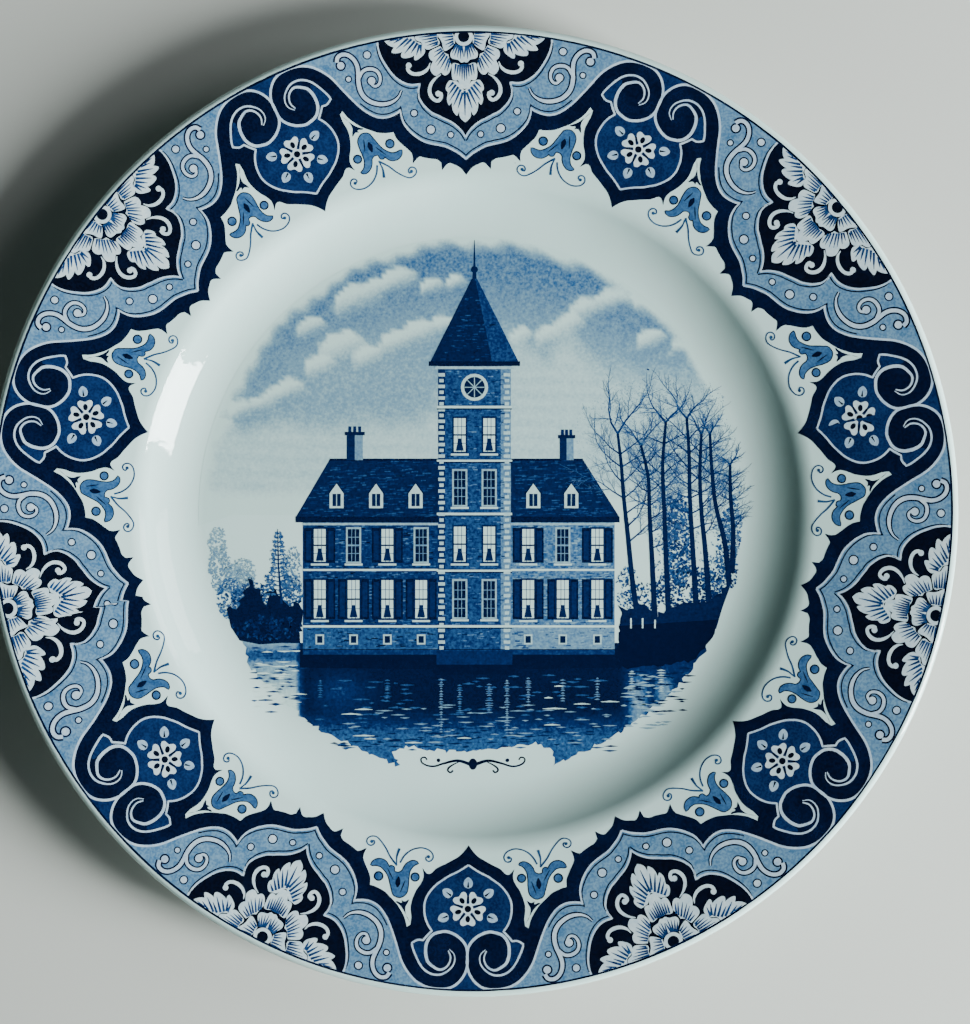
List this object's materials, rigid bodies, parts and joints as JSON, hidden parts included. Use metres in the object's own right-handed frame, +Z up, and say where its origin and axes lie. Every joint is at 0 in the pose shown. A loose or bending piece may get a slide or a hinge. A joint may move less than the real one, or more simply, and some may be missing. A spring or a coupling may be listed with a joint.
{
  "type": "souvenir plate",
  "caption": "Round glazed earthenware plate with a foot ring, a well, a printed scrolled border on its sloping rim and a printed round view on its floor.",
  "frame": {"origin": "centre of the circle on which the foot ring stands", "axes": "+Z up along the plate's axis, +Y towards the top of the printed view"},
  "size_m": [0.25, 0.25, 0.0211],
  "materials": {
    "fired_clay": "bare biscuit, matt",
    "white_glaze": "glossy transparent glaze on white earthenware",
    "navy_print": "glossy, dense cobalt print",
    "cobalt_print": "glossy, mottled cobalt print",
    "pale_print": "glossy, stippled light cobalt print",
    "view_print": "glossy, engraved cobalt print"
  },
  "bodies": {
    "root": {"earthenware_body": "fired_clay", "outer_glaze": "white_glaze", "foot_recess_glaze": "white_glaze", "rim_line_print": "navy_print", "ribbon_print": "navy_print", "pale_band_prints": "pale_print", "cartouche_prints": "navy_print", "medallion_prints": "cobalt_print", "sprig_prints": "cobalt_print", "view_sky_print": "pale_print", "view_house_print": "view_print", "view_trees_print": "view_print", "view_water_print": "view_print", "flourish_print": "navy_print"}
  },
  "joints": []
}
